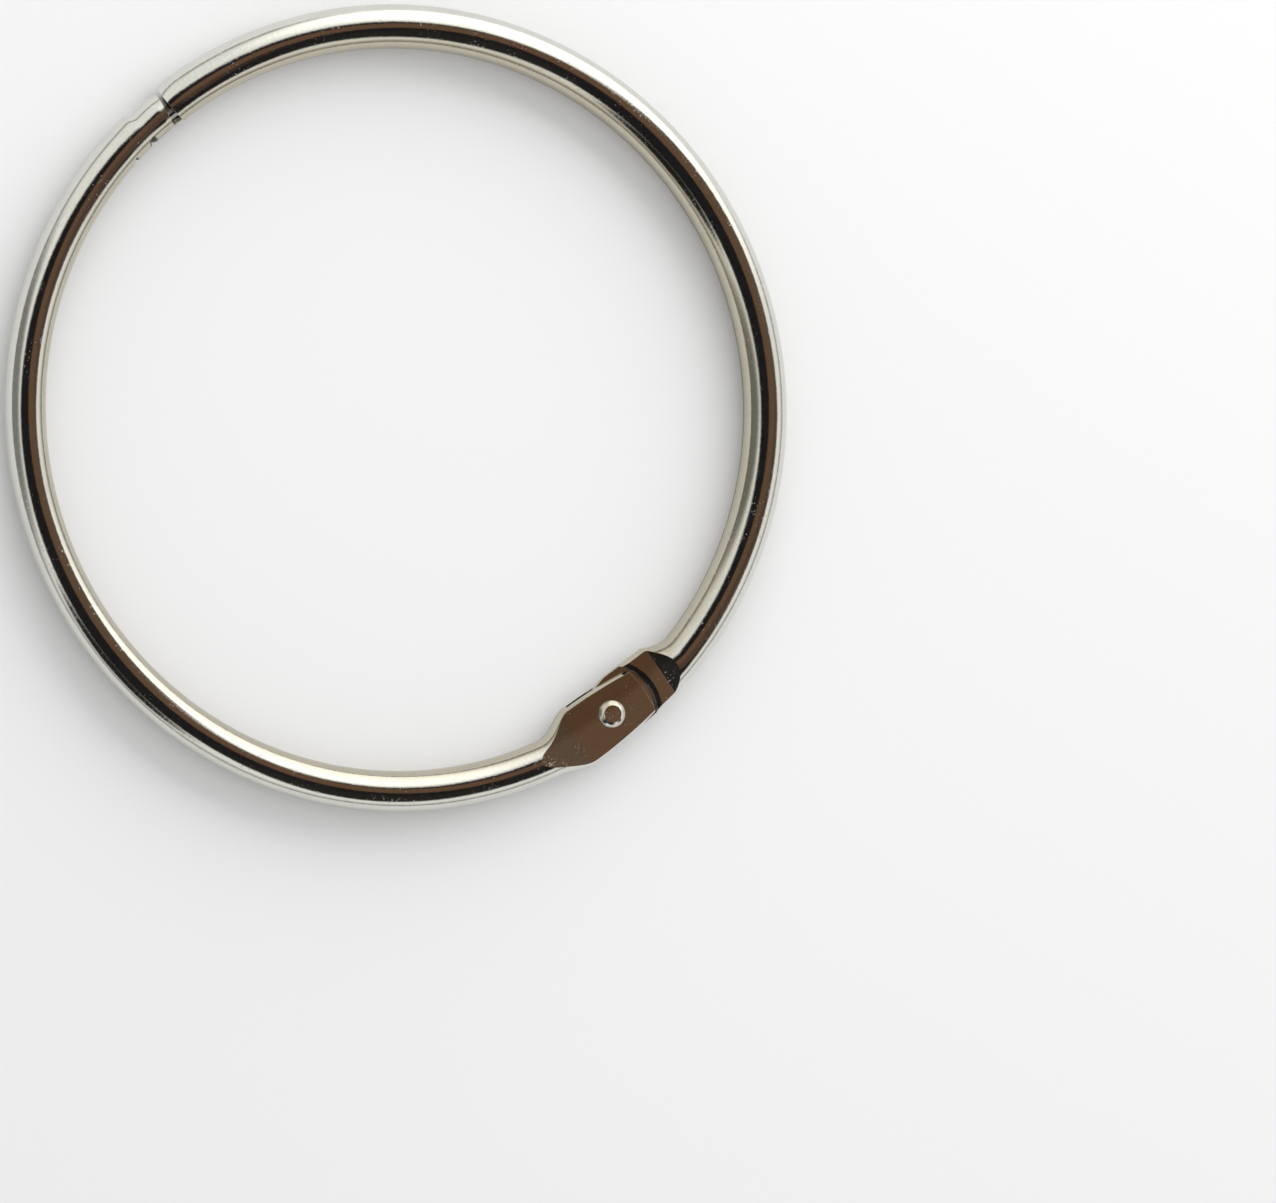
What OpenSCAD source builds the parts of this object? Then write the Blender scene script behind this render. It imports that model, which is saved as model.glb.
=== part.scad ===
// Hinged binder ring. Two half rings, each rolled from a strip of sheet steel with its seam on
// the inside of the ring, turn on a rivet at one end and snap together at the other.
//
// The closed ring lies flat on the plane z = 0, with its centre on the Z axis. The rivet is on
// the -Y side and the snap joint on the +Y side. The half with the forked end lies on the -X
// side and the half with the tongue on the +X side.

/* [Ring] */
// Radius of the circle that the centres of both tubes follow
ring_r = 36.1; // [32:0.1:60]
// Thickness of the sheet that both halves are rolled from
sheet = 0.45; // [0.35:0.01:0.5]
// Outside diameter of the fork half's tube
fork_tube_d = 3.9; // [3.7:0.1:4.2]
// Outside diameter of the tongue half's tube
tongue_tube_d = 4.2; // [4:0.1:4.6]
// Width of the seam between the rolled edges of the sheet
seam_w = 0.12; // [0.06:0.01:0.25]

/* [Hinge] */
// How far the rivet sits inside the circle of the tube centres
pivot_inset = 0.7; // [0.4:0.05:1]
// Running gap between the tongue and each cheek of the fork
cheek_gap = 0.05; // [0.03:0.01:0.1]
// Widest part of the pressed cheeks, across both rolled edges
cheek_w = 6.2; // [6:0.1:6.6]
// Width of the cheeks at their free end
cheek_end_w = 4.95; // [4.7:0.05:5.4]
// How far the cheeks reach past the rivet
cheek_reach = 3.95; // [3.7:0.05:4.1]
// Radius of the shallow curve that the cheeks end in
cheek_end_r = 12; // [8:0.5:20]
// Length of the cheeks' flat, from the rivet towards the tube
cheek_flat = 4.4; // [4.3:0.05:4.8]
// Length of the slope from the cheeks' flat up to the top of the tube
cheek_slope = 4.05; // [3.6:0.05:4.4]
// Depth of the slot between the cheeks, from the rivet
slot_r = 4.35; // [4.2:0.05:4.4]
// How far the tongue reaches inward, from the rivet's centre
tongue_in_w = 3.25; // [3:0.05:3.4]
// Distance from the rivet to the centre of the tongue's round tail
tail_back = 1; // [0.6:0.1:1.2]
// Gap between the corners of the cheeks and the shoulder of the tongue half
corner_gap = 0.15; // [0.1:0.01:0.3]
// Width of the worn bevel along the rim of that shoulder
rim_w = 0.45; // [0.3:0.05:0.6]
// Depth of the bevel
rim_drop = 0.12; // [0.05:0.01:0.2]
// Length of the tongue half's flat, from the rivet towards the tube
shoulder_flat = 6.35; // [6.2:0.05:6.8]
// Length of the steep slope from that flat up to the top of the tube
shoulder_slope = 1.4; // [1.1:0.05:1.8]

/* [Rivet] */
// Diameter of the rivet's shank
rivet_d = 1.7; // [1.4:0.05:2]
// Running clearance between the shank and the tongue, on the radius
rivet_clearance = 0.05; // [0.03:0.01:0.08]
// Diameter of the rivet's heads
rivet_head_d = 2.6; // [2.4:0.05:3]
// Diameter of the flat on top of each head
rivet_flat_d = 1.8; // [1.5:0.05:2.2]
// Height of each head above the cheek
rivet_head_h = 0.5; // [0.3:0.05:0.6]
// Height of the straight rim under each head's bevel
rivet_rim_h = 0.18; // [0.1:0.02:0.25]

/* [Snap joint] */
// Angle from the +Y side to the mouth of the tongue half
mouth_at = 2.4; // [2:0.1:2.8]
// Slant of the mouth's cut, which is later on the outside of the ring
mouth_slant = 4; // [0:1:8]
// Lean of the mouth's cut, which is later on top of the ring
mouth_lean = 15; // [0:1:18]
// How far the outside of the tube is drawn in at the mouth
mouth_drop = 0.16; // [0.1:0.02:0.2]
// Length of the catch lip that reaches out of the mouth, in degrees round the ring
lip_len = 1.3; // [0.8:0.1:1.3]
// Width of the catch lip
lip_w = 1.5; // [1.2:0.1:1.8]
// How far the catch lip is bent in towards the middle of the tube
lip_bend = 0.15; // [0.1:0.05:0.25]
// Outside diameter of the fork half's drawn-in neck
neck_d = 3.45; // [3.4:0.05:3.5]
// Angle from the +Y side to the end of the neck
neck_at = 3.8; // [3.7:0.05:4.2]
// Slant of the neck's end cut, which is sooner on the outside of the ring
neck_slant = 4; // [0:1:8]
// Lean of the neck's end cut, which is later on top of the ring
neck_lean = 8; // [0:1:12]
// Angle where the neck has its full narrowness
neck_full_at = 7.5; // [7.2:0.1:7.6]
// Angle where the neck meets the round tube
neck_root_at = 10; // [9.6:0.1:10.6]
// Play between the plug and the neck that is crimped round it, on the radius
plug_play = 0.01; // [0.005:0.005:0.03]
// Diameter of the plug's tip, which goes into the mouth
tip_d = 2.1; // [1.9:0.05:2.1]
// Depth that the tip reaches into the mouth, in degrees round the ring
tip_reach = 5; // [4:0.1:6]
// Length of the cone at the plug's nose
nose_len = 0.6; // [0.4:0.05:0.8]
// Diameter of the plug's nose
nose_d = 1.2; // [0.8:0.1:1.5]
// Width of the keel on the plug
keel_w = 0.7; // [0.5:0.05:0.9]
// Gap between the keel and each side of the neck's slot
keel_gap = 0.05; // [0.03:0.01:0.1]
// Angle from the +Y side to the deepest point of the first dent, under the neck
dent_at = 8.9; // [8.8:0.1:9.1]
// Length of that dent, in degrees round the ring
dent_len = 1.2; // [0.8:0.1:1.3]
// Angle from the +Y side to the deepest point of the second dent, where the keel ends
end_dent_at = 12.2; // [11.8:0.1:12.6]
// Length of the second dent, in degrees round the ring
end_dent_len = 1.7; // [1.2:0.1:2]
// Depth of both dents
dent_depth = 0.55; // [0.4:0.05:0.6]
// Gap between the catch tooth and the lip that it passes over
tooth_gap = 0.1; // [0.08:0.01:0.12]
// Length of the catch tooth, in degrees round the ring
tooth_len = 1.8; // [1.2:0.1:2.2]

/* [Hidden] */
$fn = 96;
nickel = [0.72, 0.70, 0.66];
bright_nickel = [0.80, 0.78, 0.74];

// Radii of the tubes, outside and inside
fork_r = fork_tube_d / 2;
tongue_r = tongue_tube_d / 2;
neck_r = neck_d / 2;
fork_bore_r = fork_r - sheet;
tongue_bore_r = tongue_r - sheet;
neck_bore_r = neck_r - sheet;

// The thicker tube rests on the floor, so this is the height of both centre lines.
mid_z = max(fork_r, tongue_r);

// The tongue is the sheet pressed double, and the cheeks lie on both sides of it.
pivot_r = ring_r - pivot_inset;
tongue_half_t = sheet;
cheek_in_z = tongue_half_t + cheek_gap;
cheek_out_z = cheek_in_z + sheet;
tail_r = tongue_in_w;

// The cheeks' corners turn inside the shoulder's rim.
cheek_end_middle = cheek_end_r - cheek_reach;
cheek_corner_s = sqrt(pow(cheek_end_r, 2) - pow(cheek_end_w / 2, 2)) - cheek_end_middle;
cheek_corner_r = norm([cheek_corner_s, cheek_end_w / 2]);
step_r = cheek_corner_r + corner_gap;

// Where the pressed ends widen from the round tube, as distances from the rivet
cheek_widest_at = 3.3;
cheek_run_in = 2.9;
cheek_round_at = cheek_flat + cheek_run_in;
cheek_ends_at = cheek_flat + cheek_slope;
cheek_crease = 0.5;
shoulder_lead = 0.2;
shoulder_wide_at = shoulder_flat - shoulder_lead;
shoulder_run_in = 2.45;
shoulder_round_at = shoulder_flat + shoulder_run_in;
shoulder_flare = 1.2;

// Where the seam runs out, and the length of the drawn-in mouth in degrees round the ring
seam_run_out = 0.2;
seam_ends_at = cheek_widest_at + seam_run_out;
mouth_run = 1.4;

// The neck runs on level with the inside of the ring, all but a small lap.
neck_lap = 0.025;
neck_skew = fork_r - neck_r - neck_lap;
taper_keep_off = 0.05;
neck_keep_off = neck_skew / 2 + taper_keep_off;
taper_lap = 0.2;

// The plug fills the neck, and its keel ends level with the inside of the tube. Lengths round
// the ring are in degrees.
plug_r = neck_bore_r - plug_play;
plug_lead = 1;
tip_r = tip_d / 2;
keel_inset = 0.05;
keel_r = ring_r - fork_r + keel_inset;
keel_from = neck_at + plug_lead;
dent_lip = 0.1;
end_dent_lip = 0.4;
dent_from = dent_at + dent_lip - dent_len;
dent_to = dent_at + dent_lip;
keel_to = end_dent_at - end_dent_lip;
end_dent_to = keel_to + end_dent_len;
slot_lag = 0.05;
slot_to = end_dent_to - slot_lag;

// The catch lip starts inside the mouth, and the tooth comes to rest just behind it.
lip_in = 1;
lip_top_r = ring_r - tongue_bore_r + lip_bend;
tooth_lag = 0.3;
tooth_to = mouth_at - lip_in - tooth_lag;

// Modelling allowances: how far a loft is sunk into the tube that it runs on from, how far a
// cut runs past what it cuts, and how far a cone runs on at its ends
sink = 0.02;
past = 1;
run_on = 0.1;

// Points on each side and each flat of a lofted section, its corner's angle where it is round,
// the number of steps along each pressed end, and the points and steps of a drawn tube
side_n = 8;
flat_n = 4;
round_corner = 70;
cheek_steps = 10;
shoulder_steps = 7;
drawn_n = 24;
drawn_steps = 4;

function clamp(x, low, high) = min(max(x, low), high);
function smooth(t) = let (k = clamp(t, 0, 1)) k * k * (3 - 2 * k);
function mix(a, b, t) = a + (b - a) * t;

// A rise that starts at 0 and bends in over a crease's width on each side of it
function bend_up(x, crease) = x < -crease ? 0 : x > crease ? x : pow(x + crease, 2) / (4 * crease);

// Angle round the ring, from -Y, to a point at a distance along the hinge and a radius
function ring_angle(s, r) = asin(s / r);

// Distance outward from the rivet to a circle about the ring's centre, at a distance along
// the hinge
function arc_v(r, s) = sqrt(r * r - s * s) - pivot_r;

// A closed row of angles with a point at each of the section's four corners
function section_angles(corner) = [
    for (i = [0:side_n - 1]) mix(-corner, corner, i / side_n),
    for (i = [0:flat_n - 1]) mix(corner, 180 - corner, i / flat_n),
    for (i = [0:side_n - 1]) mix(180 - corner, 180 + corner, i / side_n),
    for (i = [0:flat_n - 1]) mix(180 + corner, 360 - corner, i / flat_n)
];

// Upright section through a pressed tube, square to the hinge's length: the round tube where
// press is 0, an oval from in_v to out_v where it is 1, and flattened at flat_z
function section(s, tube_r, in_v, out_v, press, flat_z) =
    let (corner = asin(min(flat_z / tube_r, sin(round_corner))))
    [for (t = section_angles(corner)) [
        s,
        -pivot_r - mix(arc_v(ring_r + tube_r * cos(t), s), mix(in_v, out_v, (1 + cos(t)) / 2), press),
        clamp(tube_r * sin(t), -flat_z, flat_z)
    ]];

// Half the width of the cheeks: they curve in to the end and run into the tube
function cheek_half_w(s) =
    let (t = clamp((cheek_widest_at - s) / (cheek_widest_at + cheek_reach), 0, 2))
    mix(cheek_w, cheek_end_w, t * t) / 2;
function cheek_press(s) = 1 - smooth((s - cheek_widest_at) / (cheek_round_at - cheek_widest_at));
function cheek_z(s) =
    cheek_out_z + bend_up(s - cheek_flat, cheek_crease) * (fork_r - cheek_out_z) / cheek_slope;
function cheek_section(s) =
    section(s, fork_r - sink, -cheek_half_w(s), cheek_half_w(s), cheek_press(s), cheek_z(s));

// The pressed end of the tongue half widens inward only.
function shoulder_press(s) =
    pow(clamp((shoulder_round_at - s) / (shoulder_round_at - shoulder_wide_at), 0, 1), shoulder_flare);
function shoulder_z(s) =
    cheek_out_z + max(0, s - shoulder_flat) * (tongue_r - cheek_out_z) / shoulder_slope;
function shoulder_section(s, inset) =
    section(s, tongue_r - sink - inset, inset - tongue_in_w, arc_v(ring_r + tongue_r - sink - inset, s),
        shoulder_press(s), shoulder_z(s) - inset);

// Closed skin over a row of rings that all have the same number of points
module skin(rings) {
    n = len(rings[0]);
    last = len(rings) - 1;
    sides = [
        for (i = [0:last - 1], j = [0:n - 1])
            let (a = i * n + j, b = i * n + (j + 1) % n)
                each [[a, b, b + n], [a, b + n, a + n]]
    ];
    first_cap = [for (j = [n - 1:-1:0]) j];
    last_cap = [for (j = [0:n - 1]) last * n + j];
    polyhedron(points = [for (ring = rings) each ring], faces = concat(sides, [first_cap, last_cap]));
}

// Sweeps a flat shape, drawn about the tube's centre, round part of the ring.
module sweep(from, to) {
    rotate([0, 0, from])
        rotate_extrude(angle = to - from)
            translate([ring_r, 0])
                children();
}

// A tube that is drawn in on its outer side, smoothly from one radius and skew to another
module drawn(from, to, from_r, from_skew, to_r, to_skew) {
    skin([for (i = [0:drawn_steps])
        let (k = smooth(i / drawn_steps), angle = mix(from, to, i / drawn_steps),
            r = mix(from_r, to_r, k), middle = ring_r - mix(from_skew, to_skew, k))
        [for (j = [0:drawn_n - 1])
            let (t = 360 * j / drawn_n, reach = middle + r * cos(t))
            [reach * cos(angle), reach * sin(angle), r * sin(t)]]]);
}

// A cone about a circle inside the tube's centres, through the inside of a drawn tube
module taper(from, to, from_r, to_r, skew) {
    length = ring_r * (to - from) * PI / 180 + 2 * taper_lap;
    rotate([0, 0, (from + to) / 2])
        translate([ring_r - skew, 0, 0])
            rotate([-90, 0, 0])
                cylinder(r1 = from_r, r2 = to_r, h = length, center = true);
}

// A slit through the tube's wall on the inside of the ring
module slit(from, to, tube_r, width) {
    sweep(from, to)
        translate([-cheek_w, -width / 2])
            square([cheek_w - tube_r / 2, width]);
}

module at_pivot() {
    translate([0, -pivot_r, 0])
        children();
}

// Everything on one side of the radial plane at an angle, turned by a slant about the tube's
// upright and by a lean about its radius
module beyond(angle, slant, lean, side) {
    size = 4 * tongue_tube_d;
    rotate([0, 0, angle])
        translate([ring_r, 0, 0])
            rotate([-lean, 0, slant])
                translate([-size / 2, side > 0 ? 0 : -size, -size / 2])
                    cube(size);
}

// Outside of the forked end, from past the cheeks' end to inside the round tube
cheek_stops = [-cheek_reach - past / 2, -cheek_reach / 2, -cheek_reach / 4, cheek_reach / 4,
    cheek_widest_at,
    each [for (i = [1:cheek_steps]) mix(cheek_widest_at, cheek_ends_at, i / cheek_steps)],
    cheek_ends_at + past + run_on];

module forked_end() {
    mirror([1, 0, 0])
        skin([for (s = cheek_stops) cheek_section(s)]);
}

// The space inside the forked end, which rises with the slope from between the cheeks to the
// tube's own bore
module forked_end_bore() {
    from = 270 - ring_angle(cheek_ends_at + past, pivot_r);
    to = 270 - ring_angle(slot_r - past, pivot_r);
    middle = ring_angle(cheek_flat + cheek_slope / 2, pivot_r);
    sweep(from, to)
        square([2 * fork_bore_r - 2 * sink, 2 * cheek_in_z], center = true);
    rotate([0, 0, 270 - middle])
        translate([ring_r, 0, 0])
            rotate([90, 0, 0])
                cylinder(r1 = cheek_in_z, r2 = fork_bore_r - sink, h = cheek_slope + run_on, center = true);
}

// The two cheeks stand free of each other round the rivet, and both sides are open there
// for the tongue to swing through.
module cheek_slot() {
    at_pivot()
        translate([0, 0, -cheek_in_z])
            linear_extrude(height = 2 * cheek_in_z)
                union() {
                    circle(r = slot_r);
                    translate([0, -cheek_w])
                        square([2 * cheek_reach, 2 * cheek_w]);
                }
}

// What is trimmed off to leave the cheeks' shallow round end
module past_cheek_end() {
    at_pivot()
        translate([0, 0, -2 * fork_r])
            linear_extrude(height = 4 * fork_r)
                difference() {
                    translate([0, -cheek_w])
                        square([3 * cheek_reach, 2 * cheek_w]);
                    translate([-cheek_end_middle, 0])
                        circle(r = cheek_end_r);
                }
}

// A dent pressed into the inside of the ring, from top to bottom, with its deepest point
// between its two ends
module dent(from, deepest, to) {
    edge_r = ring_r - fork_r - sink;
    corners = [[edge_r - past, from], [edge_r, from], [edge_r + dent_depth, deepest],
        [edge_r, to], [edge_r - past, to]];
    linear_extrude(height = 4 * fork_r, center = true)
        polygon([for (c = corners) c[0] * [cos(90 + c[1]), sin(90 + c[1])]]);
}

module fork_half() {
    neck_from = 90;
    neck_to = 90 + neck_full_at;
    tube_from = 90 + neck_root_at;
    tube_to = 270 - ring_angle(cheek_ends_at, ring_r - fork_r);
    bore_to = 270 - ring_angle(cheek_ends_at, ring_r);
    color(nickel)
        translate([0, 0, mid_z])
            difference() {
                union() {
                    sweep(tube_from, tube_to) circle(r = fork_r);
                    sweep(neck_from, neck_to) translate([-neck_skew, 0]) circle(r = neck_r);
                    drawn(neck_to - run_on, tube_from + run_on, neck_r - sink, neck_skew, fork_r - sink, 0);
                    forked_end();
                }
                sweep(tube_from, bore_to) circle(r = fork_bore_r);
                sweep(neck_from, neck_to) translate([-neck_skew, 0]) circle(r = neck_bore_r);
                taper(neck_to, tube_from, neck_bore_r - neck_keep_off, fork_bore_r - neck_keep_off,
                    neck_skew / 2);
                forked_end_bore();
                slit(tube_from, 270 - ring_angle(seam_ends_at, pivot_r), fork_r, seam_w);
                slit(neck_from, 90 + slot_to, fork_r, keel_w + 2 * keel_gap);
                dent(dent_from, dent_at, dent_to);
                dent(keel_to, end_dent_at, end_dent_to);
                beyond(90 + neck_at, -neck_slant, neck_lean, -1);
                cheek_slot();
                past_cheek_end();
                at_pivot() cylinder(r = rivet_d / 2, h = 4 * fork_r, center = true);
            }
}

// Outside of the pressed end of the tongue half, from past its tail to inside the round tube
shoulder_stops = [-tail_r - past / 2, -tail_back, tail_back, tail_r, shoulder_wide_at - 2 * shoulder_lead,
    each [for (i = [0:shoulder_steps]) mix(shoulder_wide_at, shoulder_round_at, i / shoulder_steps)],
    shoulder_round_at + past + run_on];
shoulder_cavity_stops = [step_r + sheet, each [for (s = shoulder_stops) if (s > step_r + sheet) s]];

module pressed_end(stops, inset) {
    skin([for (s = stops) shoulder_section(s, inset)]);
}

// What is pressed away above and below the tongue, up to its round shoulder and the bevel
// along the shoulder's rim
module above_tongue() {
    bevel_r = step_r + rim_w + run_on * rim_w / rim_drop;
    for (side = [0, 1])
        mirror([0, 0, side])
            at_pivot() {
                translate([0, 0, tongue_half_t])
                    linear_extrude(height = 2 * tongue_r)
                        union() {
                            circle(r = step_r);
                            translate([-2 * step_r, -2 * tail_r])
                                square([2 * step_r, 4 * tail_r]);
                        }
                translate([0, 0, cheek_out_z - rim_drop])
                    cylinder(r1 = step_r, r2 = bevel_r, h = rim_drop + run_on);
            }
}

// What is trimmed off to leave the tongue's round tail
module past_tail() {
    at_pivot()
        translate([0, 0, -2 * tongue_r])
            linear_extrude(height = 4 * tongue_r)
                difference() {
                    translate([tail_back - 3 * tail_r, -2 * tail_r])
                        square([3 * tail_r, 4 * tail_r]);
                    translate([tail_back, 0])
                        circle(r = tail_r);
                }
}

// The strip of the tube's inside wall that reaches out of the mouth, bent in as a catch
module catch_lip() {
    sweep(90 + mouth_at - lip_in, 90 + mouth_at + lip_len)
        translate([lip_bend, 0])
            intersection() {
                difference() {
                    circle(r = tongue_r);
                    circle(r = tongue_bore_r);
                }
                translate([-2 * tongue_r, -lip_w / 2])
                    square([2 * tongue_r, lip_w]);
            }
}

module tongue_half() {
    tube_from = -90 + ring_angle(shoulder_round_at, ring_r - tongue_r);
    bore_from = -90 + ring_angle(shoulder_round_at, ring_r);
    tube_to = 90 + mouth_at - mouth_run;
    mouth_to = 90 + mouth_at + past;
    drop = mouth_drop / 2;
    color(nickel)
        translate([0, 0, mid_z])
            difference() {
                union() {
                    difference() {
                        union() {
                            sweep(tube_from, tube_to) circle(r = tongue_r);
                            drawn(tube_to - run_on, mouth_to, tongue_r - sink, 0, tongue_r - drop, drop);
                            pressed_end(shoulder_stops, 0);
                        }
                        sweep(bore_from, tube_to) circle(r = tongue_bore_r);
                        taper(tube_to, mouth_to, tongue_bore_r - drop, tongue_bore_r - drop, drop / 2);
                        pressed_end(shoulder_cavity_stops, sheet);
                        beyond(90 + mouth_at, mouth_slant, mouth_lean, 1);
                        above_tongue();
                        past_tail();
                    }
                    catch_lip();
                }
                slit(-90 + ring_angle(shoulder_flat, pivot_r), 90 + mouth_at + lip_len + past,
                    tongue_r, seam_w);
                at_pivot() cylinder(r = rivet_d / 2 + rivet_clearance, h = 4 * tongue_r, center = true);
            }
}

// Turned shank with both heads peened over the cheeks
module hinge_rivet() {
    shank_r = rivet_d / 2;
    head_r = rivet_head_d / 2;
    flat_r = rivet_flat_d / 2;
    rim_z = cheek_out_z + rivet_rim_h;
    top_z = cheek_out_z + rivet_head_h;
    color(bright_nickel)
        translate([0, 0, mid_z])
            at_pivot()
                rotate_extrude()
                    polygon([
                        [0, -top_z], [flat_r, -top_z], [head_r, -rim_z], [head_r, -cheek_out_z],
                        [shank_r, -cheek_out_z], [shank_r, cheek_out_z],
                        [head_r, cheek_out_z], [head_r, rim_z], [flat_r, top_z], [0, top_z]
                    ]);
}

// A fin under the plug, between two radii
module fin(from, to, inner_r, outer_r = ring_r) {
    sweep(from, to)
        translate([inner_r - ring_r, -keel_w / 2])
            square([outer_r - inner_r, keel_w]);
}

module keel() {
    difference() {
        fin(90 + keel_from, 90 + keel_to, keel_r);
        fin(90 + dent_from, 90 + dent_to, keel_r - past, keel_r + dent_depth - keel_inset);
    }
}

module snap_plug() {
    nose_at = 90 + mouth_at - tip_reach;
    color(bright_nickel)
        translate([0, 0, mid_z])
            union() {
                sweep(90 + keel_from, 90 + neck_full_at - run_on)
                    translate([-neck_skew, 0]) circle(r = plug_r);
                sweep(nose_at, 90 + keel_from + plug_lead) circle(r = tip_r);
                rotate([0, 0, nose_at])
                    translate([ring_r, 0, 0])
                        rotate([90, 0, 0])
                            cylinder(r1 = tip_r, r2 = nose_d / 2, h = nose_len);
                keel();
                fin(90 + tooth_to - tooth_len, 90 + tooth_to, lip_top_r + tooth_gap);
            }
}

fork_half();
tongue_half();
hinge_rivet();
snap_plug();
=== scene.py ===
import math

import bmesh
import bpy
from bpy.props import FloatProperty, FloatVectorProperty, PointerProperty
from mathutils import Matrix, Vector


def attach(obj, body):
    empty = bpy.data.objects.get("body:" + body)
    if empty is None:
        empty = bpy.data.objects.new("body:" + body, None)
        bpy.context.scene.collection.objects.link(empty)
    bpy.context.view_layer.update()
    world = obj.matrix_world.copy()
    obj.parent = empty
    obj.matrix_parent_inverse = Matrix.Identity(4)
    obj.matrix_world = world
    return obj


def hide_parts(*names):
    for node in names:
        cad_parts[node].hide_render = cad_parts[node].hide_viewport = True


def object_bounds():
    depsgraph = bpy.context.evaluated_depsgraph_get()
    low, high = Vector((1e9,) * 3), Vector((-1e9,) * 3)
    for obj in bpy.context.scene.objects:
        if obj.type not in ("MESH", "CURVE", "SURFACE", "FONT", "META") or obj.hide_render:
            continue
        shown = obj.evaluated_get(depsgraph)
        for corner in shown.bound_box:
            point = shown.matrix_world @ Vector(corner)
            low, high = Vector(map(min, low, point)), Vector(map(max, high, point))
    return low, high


bl_info = {
    "name": "Binder Ring",
    "version": (1, 0, 0),
    "blender": (4, 5, 0),
    "location": "3D View > Sidebar > Binder Ring",
    "description": "Builds and plates a hinged, rolled steel binder ring and sets its studio",
    "category": "Object",
}

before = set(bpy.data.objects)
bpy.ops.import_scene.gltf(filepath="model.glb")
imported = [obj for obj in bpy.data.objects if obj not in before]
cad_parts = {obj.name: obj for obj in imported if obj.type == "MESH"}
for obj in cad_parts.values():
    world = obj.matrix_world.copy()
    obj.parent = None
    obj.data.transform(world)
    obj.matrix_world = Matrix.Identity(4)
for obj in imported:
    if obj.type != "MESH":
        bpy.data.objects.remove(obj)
cad_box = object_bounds()

MM = 0.001


# ---------------------------------------------------------------- sizes, in millimetres

# Both tubes and the sheet they are rolled from
RING_R = 36.1
SHEET = 0.45
FORK_R = 1.95
TONGUE_R = 2.1
MID_Z = TONGUE_R
SEAM_W = 0.12

# Hinge. In a name R is a radius, W a width, and Z or H a height. The other sizes lie along the hinge
# and start at the rivet, but for SHOULDER_FLARE, the power that the shoulder widens with.
PIVOT_R = RING_R - 0.7
CHEEK_IN_Z = SHEET + 0.05
CHEEK_OUT_Z = CHEEK_IN_Z + SHEET
CHEEK_W = 6.2
CHEEK_END_W = 4.95
CHEEK_REACH = 3.95
CHEEK_END_R = 12.0
CHEEK_CORNER = 0.22
CHEEK_CORNER_RUN = 1.6
CHEEK_FLAT = 4.4
CHEEK_SLOPE = 4.05
CHEEK_CREASE = 0.5
CHEEK_WIDEST_AT = 3.3
CHEEK_ROUND_AT = 7.3
SLOT_R = 4.35
TONGUE_IN_W = 3.25
TAIL_FROM = 2.6
TAIL_END = 2.25
STEP_R = 4.6
RIM_W = 0.45
RIM_DROP = 0.12
RIM_SPARE = 0.1
SHOULDER_FLAT = 6.35
SHOULDER_SLOPE = 1.4
SHOULDER_WIDE_AT = 6.15
SHOULDER_ROUND_AT = 8.8
SHOULDER_FLARE = 1.2
SEAM_ENDS_AT = 3.5
RIVET_R = 0.85
RIVET_PLAY = 0.05
RIVET_HEAD_R = 1.3
RIVET_FLAT_R = 0.83
RIVET_HEAD_H = 0.5
RIVET_RIM_H = 0.18
RIVET_RIM_BOW = 0.06
RIVET_SLOPE_BOW = 0.05
RIVET_SLOPE_IN = 0.015
RIVET_DIP = 0.025

# Snap joint. AT, FROM and TO are angles in degrees from the +Y side toward -X, and SLANT, LEAN, RUN,
# LEN and LIP_IN are degrees too. The tongue half runs from -Y by +X to its mouth, just past +Y.
MOUTH_AT = 2.4
MOUTH_SLANT = 4.0
MOUTH_LEAN = 15.0
MOUTH_RUN = 2.4
MOUTH_DROP = 0.2
MOUTH_TOP_DROP = 0.04
LIP_LEN = 1.3
LIP_IN = 1.0
LIP_W = 1.5
LIP_BEND = 0.15
NECK_R = 1.725
NECK_SKEW = 0.2
NECK_AT = 3.6
NECK_SLANT = 8.5
NECK_LEAN = 8.0
NECK_OUT_W = 1.6
NECK_FULL_AT = 7.8
NECK_ROOT_AT = 9.5
NECK_FLOW_FROM = 4.5
NECK_FLOW_TO = 13.0
NECK_ROLL = 0.08
NECK_ROLL_LEN = 1.6
SLOT_W = 0.8
DENT_FROM = 7.8
DENT_AT = 8.9
DENT_TO = 9.0
END_DENT_FROM = 11.8
END_DENT_AT = 12.2
END_DENT_TO = 13.5
DENT_DEPTH = 0.55
DENT_LAP = 0.02

# Where each half's sections stop being square to the hinge's length and turn toward the ring's axis
TURN_GAP = 0.1
TURN_LEN = 0.4
FORK_TURN_AT = CHEEK_FLAT + CHEEK_SLOPE + TURN_GAP
TONGUE_TURN_AT = SHOULDER_ROUND_AT + TURN_GAP

# Spare stock that is trimmed off: past the cheeks and the tongue, and in degrees past the snap's two
# ends, for the tubes and for the cutters of their bores and the seam
CHEEK_SPARE = 0.6
TONGUE_SPARE = 0.4
END_SPARE = 2
BORE_SPARE = 3
SEAM_SPARE = 1

# How far other cutters stand free of what they cut
CUTTER_SPARE = 1

# Fineness of the meshes: points on a section, then steps in millimetres, then steps in degrees
SIDE_N = 36
FLAT_N = 20
TURN_N = 8
BORE_TURN_N = 4
RIVET_N = 96
PRESSED_STEP = 0.12
CURVE_STEP = 0.2
BORE_PRESSED_STEP = 0.25
FINE_STEP = 0.2
BORE_STEP = 0.5
TUBE_STEP = 1.0
ROUND_CORNER = math.radians(84)
TUBE_CORNER = math.radians(58)
SHARP_ANGLE = math.radians(11)


# ---------------------------------------------------------------- finish and surroundings

# Patterns in the plating, as repeats per metre
CLOUD_SCALE = 420.0
GRAIN_SCALE = 3600.0
SPECK_SCALE = 5200.0
GATHER_SCALE = 300.0
SCRATCH_SCALE = 520.0

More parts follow.
